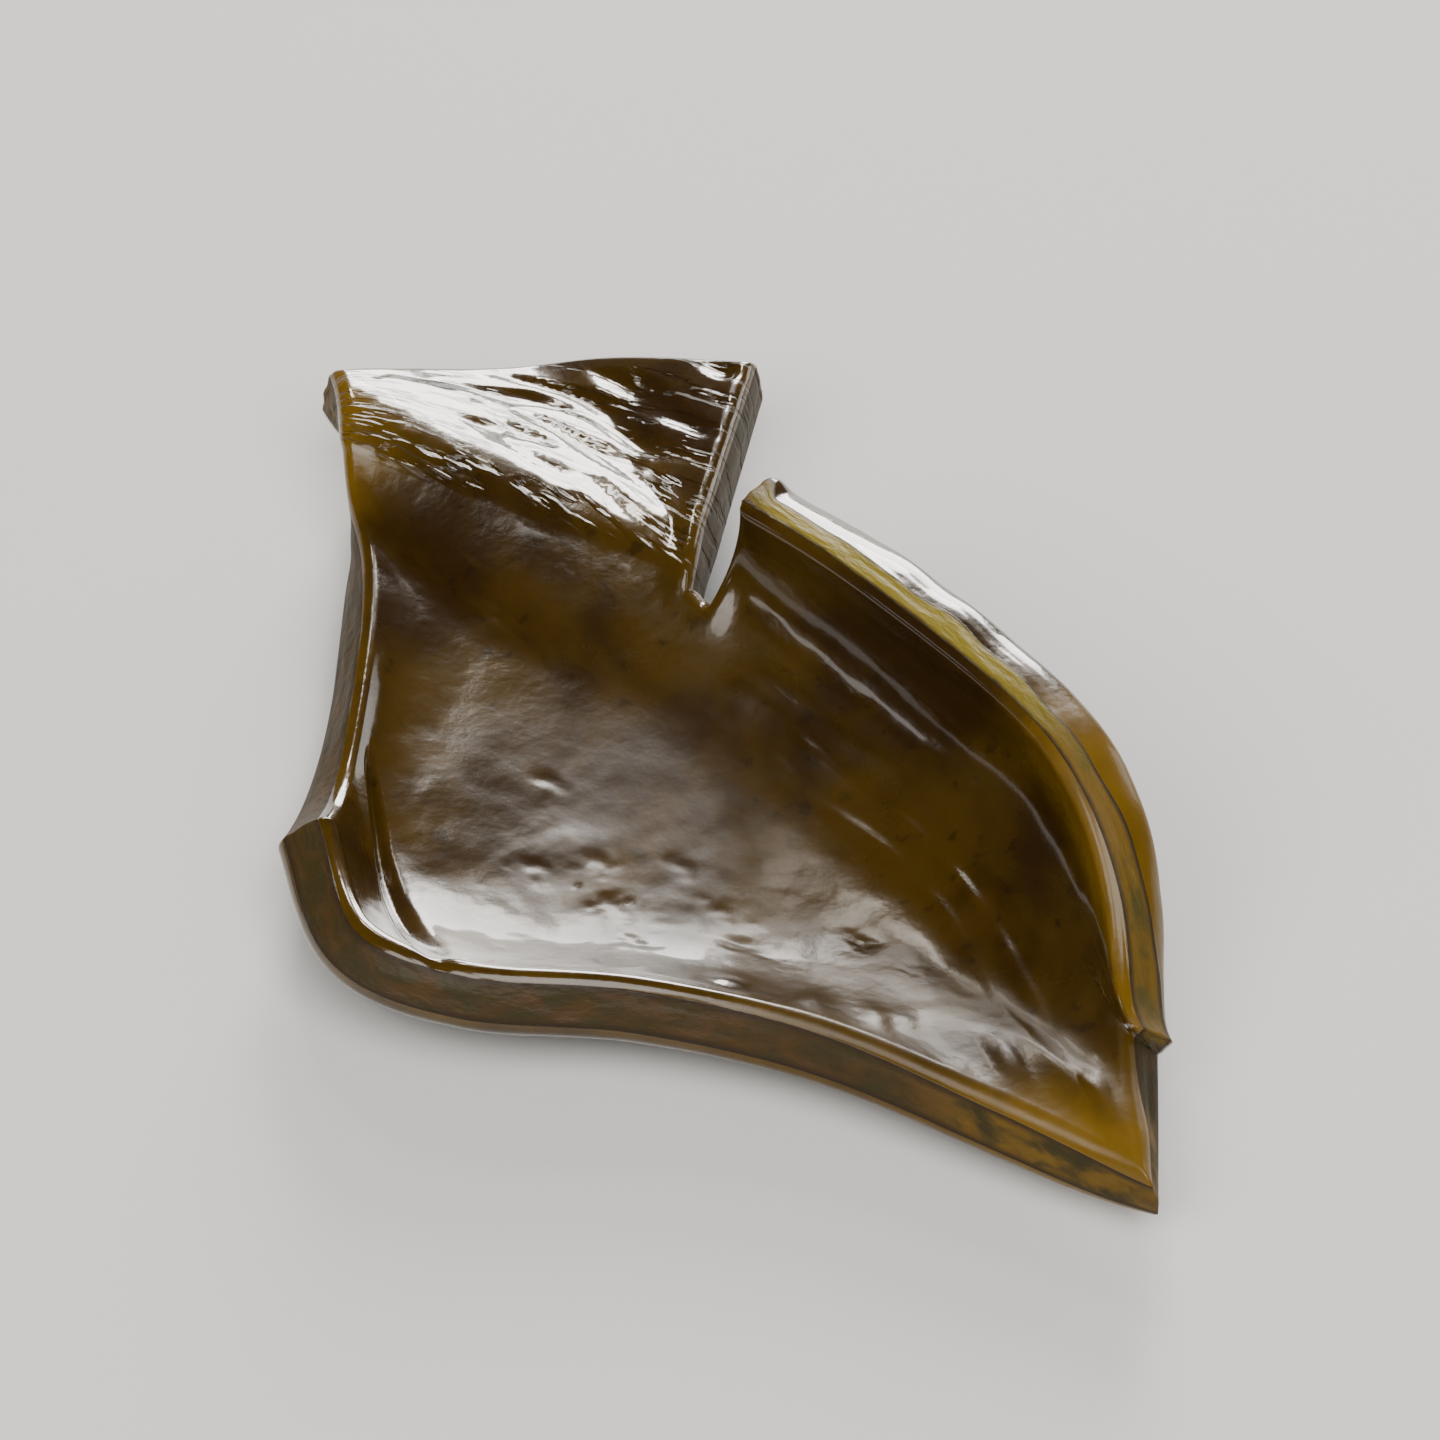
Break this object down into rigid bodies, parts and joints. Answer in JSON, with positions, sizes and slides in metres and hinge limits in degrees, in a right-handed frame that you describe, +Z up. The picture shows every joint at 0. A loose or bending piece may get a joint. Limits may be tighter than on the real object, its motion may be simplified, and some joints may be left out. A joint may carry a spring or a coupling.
{
  "type": "kelp slice",
  "caption": "Cooked kelp slice, a wet olive-brown piece cut from the blade, curled like a small tray with a slit crease, a tongue and an upturned flap.",
  "frame": {"origin": "on the resting surface, under the middle of the slice's box", "axes": "+Y along the longer way of the slice, from the near cut edge to the tongue; +Z up, through the sheet"},
  "size_m": [0.0258, 0.0344, 0.0073],
  "materials": {
    "kelp": "wet, glossy olive-brown skin with paler olive-yellow cut edges"
  },
  "bodies": {
    "root": {"kelp_slice": "kelp"}
  },
  "joints": []
}
